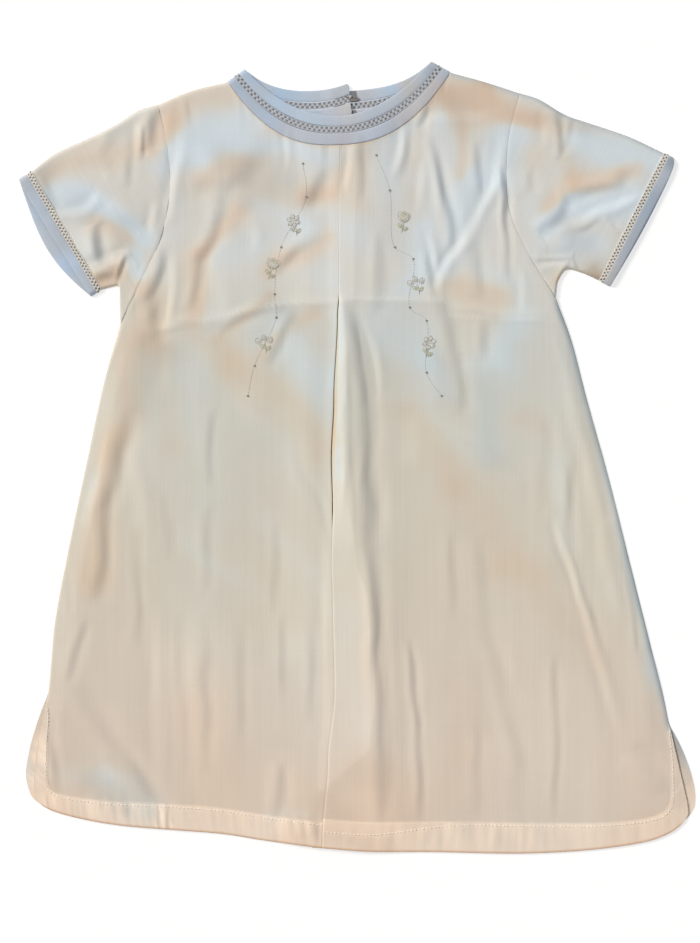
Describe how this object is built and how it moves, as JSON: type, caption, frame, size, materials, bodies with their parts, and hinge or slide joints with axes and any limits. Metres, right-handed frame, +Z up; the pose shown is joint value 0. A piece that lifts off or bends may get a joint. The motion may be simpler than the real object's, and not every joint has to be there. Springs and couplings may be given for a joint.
{
  "type": "baby's short-sleeved day shirt laid flat",
  "caption": "Short-sleeved A-line baby shirt of cotton lawn laid flat, with a centre pleat, curved hem vents, and blue bands with hemstitched ladders at neck and cuffs.",
  "frame": {"origin": "on the surface the shirt lies on, under the middle of its outline", "axes": "+X across the shirt to the right as it lies, +Y from the hem to the neck, +Z up from the surface"},
  "size_m": [0.4072, 0.4752, 0.0081],
  "materials": {
    "lawn": "matte, semi-sheer ivory cotton lawn",
    "blue_band": "matte pale blue cotton lawn",
    "hemstitched_strip": "matte white cotton with two rows of small holes"
  },
  "bodies": {
    "root": {"front_panel": "lawn", "back_panel_left": "lawn", "back_panel_right": "lawn", "sleeve_left": "lawn", "sleeve_right": "lawn", "neck_edge_band": "blue_band", "neck_yoke_band": "blue_band", "cuff_band_left": "blue_band", "cuff_band_right": "blue_band", "neck_ladder": "hemstitched_strip", "cuff_ladder_left": "hemstitched_strip", "cuff_ladder_right": "hemstitched_strip"}
  },
  "joints": []
}
